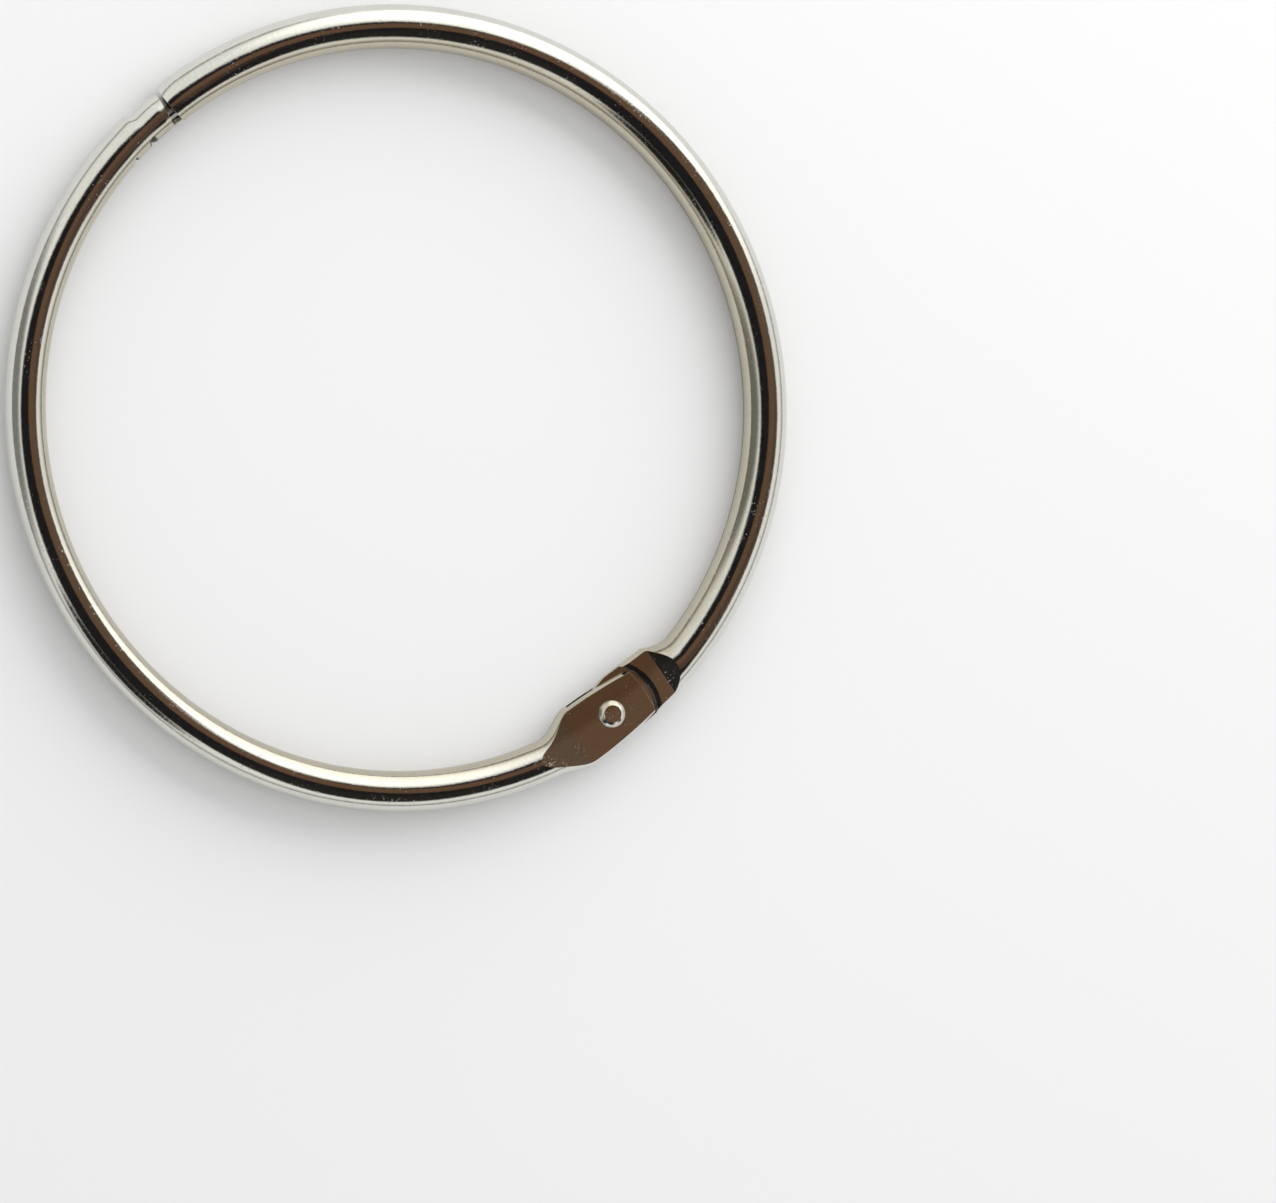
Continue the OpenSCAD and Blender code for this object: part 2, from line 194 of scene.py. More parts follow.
# Relief of the plating in millimetres, and what a worn spot adds to roughness and takes off the relief
BUMP_STRENGTH = 0.35
BUMP_HEIGHT = 0.015
EDGE_BEVEL = 0.05
WORN_ROUGHNESS = 0.25
WORN_DEPTH = 1.5

# Painted shade darkens the ring's inner side and a painted shadow darkens the first dent, in millimetres
# but for the angle
INNER_SHADE_FROM = 0.7
INNER_SHADE_FULL = 1.5
DENT_SHADOW_AT = 8.35
DENT_SHADOW_R = 34.4
DENT_SHADOW_FULL = 0.66
DENT_SHADOW_GONE = 0.76
DENT_SHADOW_RAGGED = 0.5
INNER_SHADE_TINT = (0.76, 0.71, 0.62)
DENT_SHADOW_COLOUR = (0.06, 0.055, 0.045)

# A face takes the bore's dark finish, painted shade, if it looks inward this much, or outward less than
# this in a dent, and a dent's faces may lie this far past it in millimetres and in degrees
BORE_FACING = -0.3
DENT_FACING = 0.6
DENT_MARGIN_R = 0.05
DENT_MARGIN_AT = 0.1

# Lamp: degrees right of and above the camera, as the ring sees it, then metres
SOFTBOX_SEEN = (45, 58)
SOFTBOX_AWAY = 0.55
SOFTBOX_SIZE = (1.0, 0.5)
FLOOR_HALF = 3.0

# Surroundings that gloss sees, dimmer near the horizon: the height of a look's direction, and colours
HORIZON = (0.10, 0.32)
HORIZON_COLOUR = (0.42, 0.42, 0.40)
SKY_COLOUR = (0.98, 0.975, 0.935)

# Round zones laid over them in this order: degrees right of the camera and above it, as the ring sees
# them, radius in degrees up to where the zone is full and where it is gone, and colour
GLOSS_ZONES = {
    "grey_wall": (-58, 6, 13, 37, (0.24, 0.245, 0.23)),
    "bright_window": (47, 60, 22, 42, (1.70, 1.69, 1.60)),
    "dark_front": (14, -12, 33, 43, (0.012, 0.011, 0.012)),
    "dark_right": (50, -30, 14, 24, (0.014, 0.012, 0.012)),
    "dark_below": (24, -44, 12, 22, (0.02, 0.018, 0.016)),
    "dark_below_left": (-26, -44, 10, 20, (0.02, 0.018, 0.016)),
    "dim_brown": (54, -5, 12, 20, (0.095, 0.058, 0.042)),
    "brown_high": (54, 17, 7, 14, (0.135, 0.088, 0.060)),
    "brown_middle": (43, 9, 7, 14, (0.135, 0.088, 0.060)),
    "brown_low": (33, 2, 7, 14, (0.148, 0.082, 0.047)),
}


# ---------------------------------------------------------------- settings

class FinishSettings(bpy.types.PropertyGroup):
    """Colours and finish of the plating"""

    tube_colour: FloatVectorProperty(
        name="Tube colour", description="Colour of the nickel on the rolled tubes",
        subtype="COLOR", size=4, min=0, max=1, default=(0.705, 0.70, 0.65, 1),
    )
    rivet_colour: FloatVectorProperty(
        name="Rivet colour", description="Colour of the nickel on the rivet",
        subtype="COLOR", size=4, min=0, max=1, default=(0.74, 0.72, 0.67, 1),
    )
    plug_colour: FloatVectorProperty(
        name="Plug colour", description="Colour of the duller wire of the plug",
        subtype="COLOR", size=4, min=0, max=1, default=(0.30, 0.29, 0.27, 1),
    )
    # Painted shade: the bores and dents take this dark colour
    bore_shade_colour: FloatVectorProperty(
        name="Bore colour", description="Colour of the grimy steel inside the tubes",
        subtype="COLOR", size=4, min=0, max=1, default=(0.13, 0.12, 0.105, 1),
    )
    tube_roughness: FloatProperty(
        name="Tube roughness", description="Roughness of the plating on the tubes",
        min=0, max=1, default=0.09,
    )
    rivet_roughness: FloatProperty(
        name="Rivet roughness", description="Roughness of the plating on the rivet",
        min=0, max=1, default=0.12,
    )
    plug_roughness: FloatProperty(
        name="Plug roughness", description="Roughness of the plug's wire",
        min=0, max=1, default=0.3,
    )
    bore_roughness: FloatProperty(
        name="Bore roughness", description="Roughness of the steel inside the tubes",
        min=0, max=1, default=0.42,
    )


class StageSettings(bpy.types.PropertyGroup):
    """Camera, floor and light"""

    view_azimuth: FloatProperty(
        name="View azimuth", description="Direction that the camera stands in, about the ring's axis",
        subtype="ANGLE", default=math.radians(-122.5),
    )
    view_tilt: FloatProperty(
        name="View tilt", description="Angle between the view and the ring's axis",
        subtype="ANGLE", default=math.radians(16.27),
    )
    view_roll: FloatProperty(
        name="View roll", description="Turn of the camera about its own view",
        subtype="ANGLE", default=math.radians(86.97),
    )
    view_distance: FloatProperty(
        name="View distance", description="Distance from the camera to the ring",
        unit="LENGTH", default=1.0,
    )
    view_width: FloatProperty(
        name="View width", description="Width of the picture at the ring",
        unit="LENGTH", default=0.12035,
    )
    ring_right: FloatProperty(
        name="Ring right", description="How far right of the picture's middle the ring's centre lies",
        unit="LENGTH", default=-0.02258,
    )
    ring_up: FloatProperty(
        name="Ring up", description="How far above the picture's middle the ring's centre lies",
        unit="LENGTH", default=0.01818,
    )
    floor_colour: FloatVectorProperty(
        name="Floor colour", description="Colour of the pale floor",
        subtype="COLOR", size=4, min=0, max=1, default=(0.90, 0.90, 0.90, 1),
    )
    room_light: FloatProperty(
        name="Room light", description="Strength of the even light from all round",
        min=0, default=0.69,
    )
    softbox_power: FloatProperty(
        name="Softbox power", description="Power of the soft lamp, in watts",
        min=0, default=3.5,
    )


# ---------------------------------------------------------------- shapes

def clamp(x, low, high):
    return min(max(x, low), high)


def smooth(t):
    """Eases from 0 to 1"""
    k = clamp(t, 0, 1)
    return k * k * (3 - 2 * k)


def mix(a, b, t):
    return a + (b - a) * t


def steps(start, end, step):
    """Evenly spaced values from start to end, both included"""
    n = max(1, math.ceil(abs(end - start) / step))
    return [mix(start, end, i / n) for i in range(n + 1)]


def bend_up(x, crease):
    """A rise that starts at 0 and bends in over a crease's width on each side of it"""
    if x < -crease:
        return 0
    return x if x > crease else (x + crease) ** 2 / (4 * crease)


def arc_v(r, s):
    """Distance outward from the rivet to a circle about the ring's centre, at a place on the hinge"""
    return math.sqrt(r * r - s * s) - PIVOT_R


def section_angles(corner):
    """A closed row of angles with a point at each of a section's four corners"""
    half_turn = math.pi
    parts = (
        (-corner, corner, SIDE_N),
        (corner, half_turn - corner, FLAT_N),
        (half_turn - corner, half_turn + corner, SIDE_N),
        (half_turn + corner, 2 * half_turn - corner, FLAT_N),
    )
    return [mix(a, b, i / n) for a, b, n in parts for i in range(n)]


def pressed_ring(s, tube_r, in_v, out_v, press, flat_z):
    """Section square to the hinge, pressed flat to reach from in_v to out_v outward of the rivet"""
    corner = min(math.asin(clamp(flat_z / tube_r, 0, 1)), ROUND_CORNER)
    ring = []
    for t in section_angles(corner):
        round_v = arc_v(RING_R + tube_r * math.cos(t), s)
        pressed_v = mix(in_v, out_v, (1 + math.cos(t)) / 2)
        z = clamp(tube_r * math.sin(t), -flat_z, flat_z)
        ring.append((s, -PIVOT_R - mix(round_v, pressed_v, press), z))
    return ring


def turned_at(s, tube_r):
    """Angle from -Y of the first section that faces the ring's axis, when the turn starts at s"""
    return math.asin((s + TURN_LEN) / (RING_R - tube_r))


def turning_rings(s, angle, tube_r, count):
    """Sections of the round tube, turning from the plane at s to the radial plane at an angle"""
    rings = []
    for k in steps(0, 1, 1 / count)[1:]:
        ring = []
        for t in section_angles(mix(ROUND_CORNER, TUBE_CORNER, smooth(k))):
            reach = RING_R + tube_r * math.cos(t)
            turn = mix(math.asin(s / reach), angle, k)
            ring.append((reach * math.sin(turn), -reach * math.cos(turn), tube_r * math.sin(t)))
        rings.append(ring)
    return rings


def radial_ring(angle, out_w, in_w, half_h, wall=0.0):
    """Section in the radial plane at an angle from -Y, with its own reach outward, inward and up"""
    ring = []
    for t in section_angles(TUBE_CORNER):
        reach = RING_R + ((out_w if math.cos(t) > 0 else in_w) - wall) * math.cos(t)
        ring.append((reach * math.sin(angle), -reach * math.cos(angle), (half_h - wall) * math.sin(t)))
    return ring


def cheek_half_w(s):
    """Half the width of the cheeks: they curve in to the end and run into the tube"""
    t = clamp((CHEEK_WIDEST_AT - s) / (CHEEK_WIDEST_AT + CHEEK_REACH), 0, 2)
    return mix(CHEEK_W, CHEEK_END_W, t * t) / 2


def cheek_ring(s):
    """Section of the fork half's pressed end, as one flat piece before the slot is cut"""
    press = 1 - smooth((s - CHEEK_WIDEST_AT) / (CHEEK_ROUND_AT - CHEEK_WIDEST_AT))
    rise = bend_up(s - CHEEK_FLAT, CHEEK_CREASE) * (FORK_R - CHEEK_OUT_Z) / CHEEK_SLOPE
    half_w = cheek_half_w(s)
    return pressed_ring(s, FORK_R, -half_w, half_w, press, min(CHEEK_OUT_Z + rise, FORK_R))


def shoulder_ring(s, inset=0.0):
    """Section of the tongue half's pressed end, which widens inward only"""
    run = SHOULDER_ROUND_AT - SHOULDER_WIDE_AT
    press = clamp((SHOULDER_ROUND_AT - s) / run, 0, 1) ** SHOULDER_FLARE
    rise = max(0, s - SHOULDER_FLAT) * (TONGUE_R - CHEEK_OUT_Z) / SHOULDER_SLOPE
    tube_r = TONGUE_R - inset
    flat_z = min(CHEEK_OUT_Z + rise, TONGUE_R) - inset
    return pressed_ring(s, tube_r, inset - TONGUE_IN_W, arc_v(RING_R + tube_r, s), press, flat_z)


def hinge_arc(r, start, end, fine):
    """Points (x, y) on an arc about the rivet, between angles in degrees from -Y toward +X"""
    return [
        (r * math.sin(a), -PIVOT_R - r * math.cos(a))
        for a in steps(math.radians(start), math.radians(end), math.radians(fine))
    ]


# ---------------------------------------------------------------- mesh helpers

def mesh_object(name, verts, faces):
    """A closed mesh in metres from points about the ring's mid-plane in millimetres"""
    mesh = bpy.data.meshes.new(name)
    mesh.from_pydata([(x * MM, y * MM, (z + MID_Z) * MM) for x, y, z in verts], [], faces)
    shape = bmesh.new()
    shape.from_mesh(mesh)
    bmesh.ops.recalc_face_normals(shape, faces=shape.faces)
    shape.to_mesh(mesh)
    shape.free()
    item = bpy.data.objects.new(name, mesh)
    bpy.context.scene.collection.objects.link(item)
    return item


def loft(name, rings, side=1):
    """Closed skin over rings of equal length, with side -1 for the -X half of the ring"""
    n = len(rings[0])
    verts = [(side * x, y, z) for ring in rings for x, y, z in ring]
    faces = [
        (i * n + j, i * n + (j + 1) % n, (i + 1) * n + (j + 1) % n, (i + 1) * n + j)
        for i in range(len(rings) - 1) for j in range(n)
    ]
    last = (len(rings) - 1) * n
    faces.append(tuple(range(n)))
    faces.append(tuple(range(last, last + n)))
    return mesh_object(name, verts, faces)


def prism(name, outline, low, high):
    """Upright prism between two heights over an outline of (x, y) points"""
    rings = [[(x, y, z) for x, y in outline] for z in (low, high)]
    return loft(name, rings)


def swept_box(name, start, end, inner_r, outer_r, half_w, side):
    """Strip of rectangular section that follows the ring, between angles from -Y"""
    corners = ((inner_r, -half_w), (outer_r, -half_w), (outer_r, half_w), (inner_r, half_w))
    rings = [
        [(r * math.sin(a), -r * math.cos(a), z) for r, z in corners]
        for a in steps(start, end, math.radians(TUBE_STEP))
    ]
    return loft(name, rings, side)


def half_space(name, at, slant, lean, side):
    """Big block on one side of the radial plane at an angle from +Y, slanted and leaning"""
    size = 8 * TONGUE_R
    turn = Matrix.Rotation(math.radians(90 + at), 4, "Z") @ Matrix.Translation((RING_R, 0, 0))
    turn = turn @ Matrix.Rotation(math.radians(slant), 4, "Z")
    turn = turn @ Matrix.Rotation(math.radians(-lean), 4, "X")
    block = bmesh.new()
    bmesh.ops.create_cube(block, size=size)
    bmesh.ops.translate(block, verts=block.verts, vec=(0, side * size / 2, 0))
    bmesh.ops.transform(block, matrix=turn, verts=block.verts)
    verts = [tuple(v.co) for v in block.verts]
    faces = [tuple(v.index for v in f.verts) for f in block.faces]
    block.free()
    return mesh_object(name, verts, faces)


def carve(target, cuts=(), joined=()):
    """Cuts shapes from a mesh and joins others to it, and leaves one plain mesh"""
    for operation, tools in (("DIFFERENCE", cuts), ("UNION", joined)):
        for tool in tools:
            cut = target.modifiers.new(tool.name, "BOOLEAN")
            cut.operation = operation
            cut.solver = "MANIFOLD"
            cut.object = tool
    settled = target.evaluated_get(bpy.context.evaluated_depsgraph_get())
    mesh = bpy.data.meshes.new_from_object(settled)
    target.modifiers.clear()
    target.data = mesh
    for tool in (*cuts, *joined):
        bpy.data.objects.remove(tool)


def is_inside(face):
    """Whether a face on the snap's side of the ring is in a bore or in a dent under the neck"""
    x, y, z = face.center / MM
    if y < 0:
        return False
    reach = math.hypot(x, y)
    across = reach - RING_R
    out = Vector((x / reach * across, y / reach * across, z - MID_Z)).normalized()
    faces_out = face.normal.dot(out)
    at = math.degrees(math.atan2(-x, y))
    dent_r = RING_R - FORK_R + DENT_DEPTH + DENT_MARGIN_R
    in_dent = reach < dent_r and DENT_FROM - DENT_MARGIN_AT < at < END_DENT_TO + DENT_MARGIN_AT
    return faces_out < BORE_FACING or (in_dent and faces_out < DENT_FACING)


def finish_mesh(target, material, inside=None):
    """Smooth faces with crisp creases, one finish outside and another, dark as painted shade, in the
    bores and dents
    """
    mesh = target.data
    mesh.shade_smooth()
    mesh.set_sharp_from_angle(angle=SHARP_ANGLE)
    mesh.materials.clear()
    mesh.materials.append(material)
    if inside:
        mesh.materials.append(inside)
    for face in mesh.polygons:
        face.material_index = 1 if inside and is_inside(face) else 0


# ---------------------------------------------------------------- fork half

def neck_form(at):
    """Reach outward, inward and up of the fork half's tube at an angle from +Y"""
    k = smooth((at - NECK_FULL_AT) / (NECK_ROOT_AT - NECK_FULL_AT))
    flow = smooth((at - NECK_FLOW_FROM) / (NECK_FLOW_TO - NECK_FLOW_FROM))
    roll = NECK_ROLL * (1 - smooth((at - NECK_AT) / NECK_ROLL_LEN))
    out_w = mix(NECK_OUT_W - roll, FORK_R, k)
    in_w = mix(NECK_R + NECK_SKEW, FORK_R, k)
    return out_w, in_w, mix(NECK_R - roll, FORK_R, flow)


def fork_outside():
    """Skin of the fork half, from the cheeks round to the neck"""
    turned = turned_at(FORK_TURN_AT, FORK_R)
    rings = [cheek_ring(s) for s in steps(-CHEEK_REACH - CHEEK_SPARE, FORK_TURN_AT, PRESSED_STEP)]
    rings += turning_rings(FORK_TURN_AT, turned, FORK_R, TURN_N)
    neck = 180 - NECK_FLOW_TO
    angles = steps(math.degrees(turned), neck, TUBE_STEP)[1:]
    angles += steps(neck, 180 - NECK_AT + END_SPARE, FINE_STEP)[1:]
    for angle in angles:
        rings.append(radial_ring(math.radians(angle), *neck_form(180 - angle)))
    return loft("fork_tube", rings, side=-1)


def fork_bore():
    """The space inside the tube, down to the flat space between the cheeks"""
    bore_r = FORK_R - SHEET
    slope_ends_at = CHEEK_FLAT + CHEEK_SLOPE
    rings = []
    for s in steps(SLOT_R - CUTTER_SPARE, slope_ends_at, BORE_PRESSED_STEP):
        half_h = mix(CHEEK_IN_Z, bore_r, clamp((s - CHEEK_FLAT) / CHEEK_SLOPE, 0, 1))
        ring = []
        for t in section_angles(TUBE_CORNER)[::2]:
            reach = RING_R + bore_r * math.cos(t)
            ring.append((s, -math.sqrt(reach * reach - s * s), half_h * math.sin(t)))
        rings.append(ring)
    turned = turned_at(FORK_TURN_AT, FORK_R)
    for angle in steps(math.degrees(turned), 180 - NECK_AT + BORE_SPARE, BORE_STEP):
        rings.append(radial_ring(math.radians(angle), *neck_form(180 - angle), SHEET)[::2])
    return loft("fork_bore", rings, side=-1)


def cheek_slot():
    """The open space between the cheeks, round the rivet and to both sides"""
    far = 2 * CHEEK_REACH
    outside = -PIVOT_R - CHEEK_W
    inside = -PIVOT_R + CHEEK_W
    outline = [(0, outside), (far, outside), (far, inside), (0, inside), *hinge_arc(SLOT_R, -180, 0, 4)]
    return prism("cheek_slot", outline, -CHEEK_IN_Z, CHEEK_IN_Z)


def past_cheek_end():
    """What is trimmed off beyond the shallow curve and the clipped corners of the cheeks' end"""
    middle = CHEEK_END_R - CHEEK_REACH
    corner_v = CHEEK_END_W / 2 - CHEEK_CORNER
    corner_x = math.sqrt(CHEEK_END_R ** 2 - corner_v ** 2) - middle
    curve = [
        (math.sqrt(CHEEK_END_R ** 2 - v * v) - middle, v)
        for v in steps(-corner_v, corner_v, CURVE_STEP)
    ]
    near = corner_x - CHEEK_CORNER_RUN
    far = 3 * CHEEK_REACH
    wide = corner_v + CHEEK_CORNER_RUN
    outline = [(near, -wide), *curve, (near, wide), (far, wide), (far, -wide)]
    return prism("past_cheek_end", [(x, v - PIVOT_R) for x, v in outline], -2 * FORK_R, 2 * FORK_R)


def dent(name, start, deepest, end):
    """A dent pressed into the inside of the ring, from top to bottom"""
    edge_r = RING_R - FORK_R - DENT_LAP
    free_r = edge_r - CUTTER_SPARE
    corners = (
        (free_r, start), (edge_r, start), (edge_r + DENT_DEPTH, deepest), (edge_r, end), (free_r, end),
    )
    outline = [(-r * math.sin(math.radians(a)), r * math.cos(math.radians(a))) for r, a in corners]
    return prism(name, outline, -2 * FORK_R, 2 * FORK_R)


def rivet_hole(name, radius):
    return prism(name, hinge_arc(radius, 0, 360, 6)[:-1], -2 * TONGUE_R, 2 * TONGUE_R)


def seam_angle(s):
    """Angle from -Y of a place on the hinge where a seam begins"""
    return math.asin(s / PIVOT_R)


def build_fork():
    """Rolled tube with the cheeks, their slot and hole, the seam, the neck and the dents under it"""
    fork = fork_outside()
    inner_r = RING_R - CHEEK_W
    outer_r = RING_R - FORK_R / 2
    root = math.radians(180 - END_DENT_TO)
    carve(fork, cuts=[
        fork_bore(),
        swept_box("fork_seam", seam_angle(SEAM_ENDS_AT), root, inner_r, outer_r, SEAM_W / 2, -1),
        swept_box("keel_slot", root, math.radians(180), inner_r, outer_r, SLOT_W / 2, -1),
        dent("neck_dent", DENT_FROM, DENT_AT, DENT_TO),
        dent("end_dent", END_DENT_FROM, END_DENT_AT, END_DENT_TO),
        half_space("past_neck", NECK_AT, -NECK_SLANT, NECK_LEAN, -1),
        cheek_slot(),
        past_cheek_end(),
        rivet_hole("cheek_hole", RIVET_R),
    ])
    return fork


# ---------------------------------------------------------------- tongue half

def mouth_form(at):
    """Reach outward, inward and up of the tongue half's tube at an angle past +Y"""
    k = clamp((at - MOUTH_AT + MOUTH_RUN) / MOUTH_RUN, 0, 1.3) ** 2
    return TONGUE_R - MOUTH_DROP * k, TONGUE_R, TONGUE_R - MOUTH_TOP_DROP * k


def tongue_outside():
    """Skin of the tongue half, from the tongue round to the mouth, before the tongue is pressed thin"""
    turned = turned_at(TONGUE_TURN_AT, TONGUE_R)
    places = steps(-TONGUE_IN_W - TONGUE_SPARE, SHOULDER_FLAT, PRESSED_STEP)
    places += steps(SHOULDER_FLAT, TONGUE_TURN_AT, PRESSED_STEP)[1:]
    rings = [shoulder_ring(s) for s in places]
    rings += turning_rings(TONGUE_TURN_AT, turned, TONGUE_R, TURN_N)
    mouth = 180 + MOUTH_AT - MOUTH_RUN
    angles = steps(math.degrees(turned), mouth, TUBE_STEP)[1:]
    angles += steps(mouth, 180 + MOUTH_AT + END_SPARE, FINE_STEP)[1:]
    for angle in angles:
        rings.append(radial_ring(math.radians(angle), *mouth_form(angle - 180)))
    return loft("tongue_tube", rings)


def tongue_bore():
    """The space inside the tube, which starts one sheet's thickness behind the shoulder's step"""
    turned = turned_at(SHOULDER_ROUND_AT, TONGUE_R)
    places = steps(STEP_R + SHEET, SHOULDER_ROUND_AT, CURVE_STEP)
    rings = [shoulder_ring(s, SHEET) for s in places]
    rings += turning_rings(SHOULDER_ROUND_AT, turned, TONGUE_R - SHEET, BORE_TURN_N)
    for angle in steps(math.degrees(turned), 180 + MOUTH_AT + BORE_SPARE, BORE_STEP)[1:]:
        rings.append(radial_ring(math.radians(angle), *mouth_form(angle - 180), SHEET))
    return loft("tongue_bore", [ring[::2] for ring in rings])


def above_tongue(name, side):
    """What is pressed away above or below the tongue, up to the worn rim of its round shoulder"""
    far = -2 * STEP_R
    flare = RIM_W * (1 + RIM_SPARE / RIM_DROP)
    profile = (
        (SHEET, 0.0), (CHEEK_OUT_Z - RIM_DROP, 0.0),
        (CHEEK_OUT_Z + RIM_SPARE, flare), (2 * TONGUE_R, flare),
    )
    rings = []
    for z, wider in profile:
        r = STEP_R + wider
        outline = [*hinge_arc(r, 0, 180, 2), (far, -PIVOT_R + r), (far, -PIVOT_R - r)]
        rings.append([(x, y, side * z) for x, y in outline])
    return loft(name, rings)


def past_tail():
    """What is trimmed off to leave the tongue's long, round tail"""
    r = TONGUE_IN_W
    long_r = TAIL_FROM + TAIL_END
    tail = [
        (TAIL_FROM - long_r * math.sin(a), -PIVOT_R + r * math.cos(a))
        for a in steps(0, math.pi, math.radians(3))
    ]
    far = TAIL_FROM - 3 * r
    outside = -PIVOT_R - 2 * r
    inside = -PIVOT_R + 2 * r
    outline = [*tail, (TAIL_FROM, outside), (far, outside), (far, inside), (TAIL_FROM, inside)]
    return prism("past_tail", outline, -2 * TONGUE_R, 2 * TONGUE_R)


def catch_lip():
    """The strip of the tube's inside wall that reaches out of the mouth"""
    half = math.asin(LIP_W / 2 / TONGUE_R)
    bore_r = TONGUE_R - SHEET
    bow = steps(-half, half, math.radians(3))
    section = [(-TONGUE_R * math.cos(t), TONGUE_R * math.sin(t)) for t in bow]
    section += [(-bore_r * math.cos(t), bore_r * math.sin(t)) for t in reversed(bow)]
    reach = RING_R + LIP_BEND
    rings = []
    for at in steps(MOUTH_AT - LIP_IN, MOUTH_AT + LIP_LEN, FINE_STEP):
        turn = math.radians(180 + at)
        rings.append([
            ((reach + x) * math.sin(turn), -(reach + x) * math.cos(turn), z) for x, z in section
        ])
    return loft("catch_lip", rings)


def build_tongue():
    """Rolled tube with the thin tongue, its hole, the seam, the mouth and the catch lip"""
    tongue = tongue_outside()
    inner_r = RING_R - CHEEK_W
    outer_r = RING_R - TONGUE_R / 2
    seam_end = math.radians(180 + MOUTH_AT + LIP_LEN + SEAM_SPARE)
    carve(tongue, cuts=[
        tongue_bore(),
        half_space("past_mouth", MOUTH_AT, MOUTH_SLANT, MOUTH_LEAN, 1),
        above_tongue("above_tongue", 1),
        above_tongue("below_tongue", -1),
        past_tail(),
    ], joined=[catch_lip()])
    carve(tongue, cuts=[
        swept_box("tongue_seam", seam_angle(SHOULDER_FLAT), seam_end, inner_r, outer_r, SEAM_W / 2, 1),
        rivet_hole("tongue_hole", RIVET_R + RIVET_PLAY),
    ])
    return tongue


# ---------------------------------------------------------------- rivet

def head_profile():
    """Outline (r, z) of the upper head, from the shank out round the rim and up the slope to the flat"""
    seat = CHEEK_OUT_Z
    top = seat + RIVET_HEAD_H
    rim_top = seat + RIVET_RIM_H
    bow = RIVET_RIM_BOW
    outline = [(RIVET_R, seat), (RIVET_HEAD_R - bow, seat)]
    for turn in steps(0, math.pi / 2, math.radians(22.5)):
        outline.append((RIVET_HEAD_R - bow * (1 - math.sin(turn)), seat + bow * (1 - math.cos(turn))))
    outline.append((RIVET_HEAD_R, rim_top - bow))
    for t in steps(0, 1, 0.1):
        r = mix(RIVET_HEAD_R, RIVET_FLAT_R, t) - RIVET_SLOPE_IN * (1 - t)
        z = mix(rim_top, top, t) + RIVET_SLOPE_BOW * math.sin(math.pi * t) * (1 - t)
        outline.append((r, z))
    outline.append((RIVET_FLAT_R / 2, top))
    outline.append((RIVET_FLAT_R / 8, top))
    return outline


def peened_z(r, z, a):
    """Height on a head, whose slope is hammered a little unevenly round the flat"""
    if abs(z) <= CHEEK_OUT_Z + RIVET_RIM_H:
        return z
    off_flat = clamp((r - RIVET_FLAT_R) / (RIVET_HEAD_R - RIVET_FLAT_R), 0, 1)
    dip = RIVET_DIP * math.sin(math.pi * off_flat) * (math.sin(2 * a + 0.8) + 0.6 * math.sin(3 * a))
    return z + math.copysign(dip, z)


def build_rivet():
    """Turned shank with both heads peened over: a round rim, a worn slope and a flat top"""
    upper = head_profile()
    turns = [2 * math.pi * j / RIVET_N for j in range(RIVET_N)]
    rings = []
    for r, z in [(r, -z) for r, z in reversed(upper)] + upper:
        rings.append([(r * math.sin(a), -PIVOT_R - r * math.cos(a), peened_z(r, z, a)) for a in turns])
    return loft("rivet", rings)


# ---------------------------------------------------------------- node helpers

def new_node(tree, kind, **sockets):
    """Adds a node and sets its inputs from values or other nodes' outputs, by name or as _number"""
    node = tree.nodes.new(kind)
    for name, value in sockets.items():
        socket = node.inputs[int(name[1:])] if name[0] == "_" else node.inputs[name.replace("_", " ")]
        if isinstance(value, bpy.types.NodeSocket):
            tree.links.new(value, socket)
        else:
            socket.default_value = value
    return node


def math_node(tree, operation, *values):
    node = new_node(tree, "ShaderNodeMath", **{f"_{i}": v for i, v in enumerate(values)})
    node.operation = operation
    return node.outputs[0]


def noise_node(tree, place, scale, detail=3.0, roughness=0.5):
    return new_node(
        tree, "ShaderNodeTexNoise", Vector=place, Scale=scale, Detail=detail, Roughness=roughness
    ).outputs["Fac"]


def band_node(tree, value, low, high, start=0.0, end=1.0):
    """Takes the range of a value from low to high to the range from start to end, and clamps it"""
    return new_node(
        tree, "ShaderNodeMapRange", Value=value, From_Min=low, From_Max=high, To_Min=start, To_Max=end
    ).outputs["Result"]


def mix_node(tree, share, under, over, blend="MIX"):
    """Lays one colour over another, each of them a plain colour or another node's output"""
    node = new_node(tree, "ShaderNodeMix", Factor=share)
    node.data_type = "RGBA"
    node.blend_type = blend
    for i, value in ((6, under), (7, over)):
        if isinstance(value, bpy.types.NodeSocket):
            tree.links.new(value, node.inputs[i])
        else:
            node.inputs[i].default_value = (*value, 1)
    return node.outputs[2]


# ---------------------------------------------------------------- finishes

def worn_spots(tree, place):
    """Small pits and faint scratches, which gather here and there"""
    gather = noise_node(tree, place, GATHER_SCALE, detail=2.0)
    speck = noise_node(tree, place, SPECK_SCALE, detail=1.0)
    pits = math_node(
        tree, "MULTIPLY",
        band_node(tree, speck, 0.68, 0.75), band_node(tree, gather, 0.48, 0.60, 0.15, 1.0),
    )
    drawn = new_node(
        tree, "ShaderNodeMapping", Vector=place, Rotation=(0.0, 0.0, 0.6), Scale=(1.0, 14.0, 1.0)
    )
    lines = noise_node(tree, drawn.outputs["Vector"], SCRATCH_SCALE, detail=2.0)
    scratches = math_node(
        tree, "MULTIPLY",
        band_node(tree, lines, 0.69, 0.73, 0.0, 0.6), band_node(tree, gather, 0.5, 0.62),
    )
    return math_node(tree, "MAXIMUM", pits, scratches)


def inner_painted_shade(tree, place):
    """How much painted shade there is: none on the ring's outer side, most on its inner side"""
    axes = new_node(tree, "ShaderNodeSeparateXYZ", Vector=place).outputs
    squares = [math_node(tree, "MULTIPLY", axes[name], axes[name]) for name in ("X", "Y")]
    reach = math_node(tree, "SQRT", math_node(tree, "ADD", *squares))
    return band_node(tree, reach, (RING_R - INNER_SHADE_FROM) * MM, (RING_R - INNER_SHADE_FULL) * MM)


